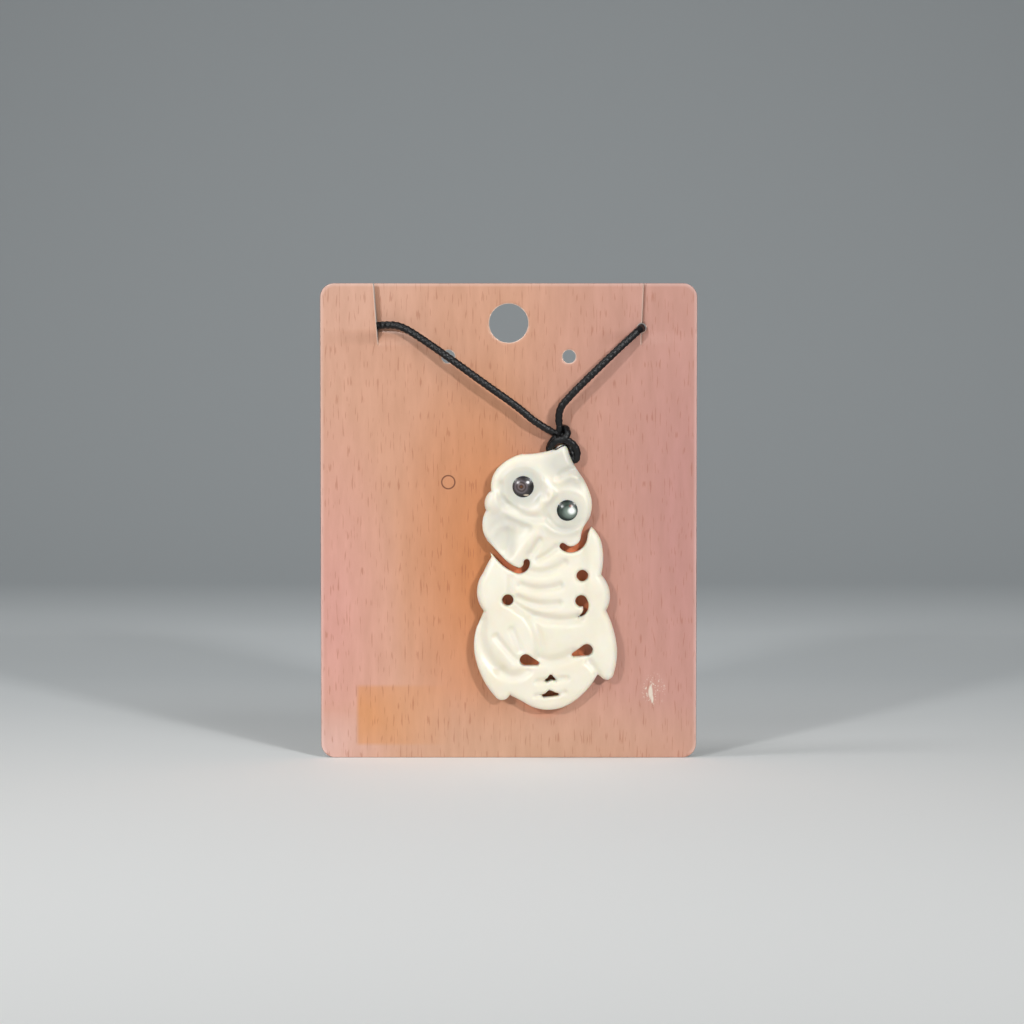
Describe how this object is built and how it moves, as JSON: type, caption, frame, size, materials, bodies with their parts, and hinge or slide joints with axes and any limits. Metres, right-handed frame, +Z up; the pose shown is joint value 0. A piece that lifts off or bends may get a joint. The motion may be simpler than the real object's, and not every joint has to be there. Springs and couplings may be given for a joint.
{
  "type": "hei tiki pendant on a display card",
  "caption": "Carved bone hei tiki pendant with shell eyes on a waxed cord, hung by its cord on a wood-print display card with a hang hole.",
  "frame": {"origin": "centre of the card's hang hole, halfway through the card", "axes": "+Z up, +X to the right seen from the front, -Y out of the card's front face towards the viewer"},
  "size_m": [0.0792, 0.0114, 0.1],
  "materials": {
    "bone": "polished bone, satin",
    "shell": "dark polished shell",
    "cord": "black waxed braid",
    "card": "printed beech pattern, coated"
  },
  "bodies": {
    "root": {"tiki": "bone", "eye_left": "shell", "eye_right": "shell", "hitch_knot": "cord", "cord_left": "cord", "cord_right": "cord", "slide_knot_left": "cord", "slide_knot_right": "cord", "card": "card"}
  },
  "joints": []
}
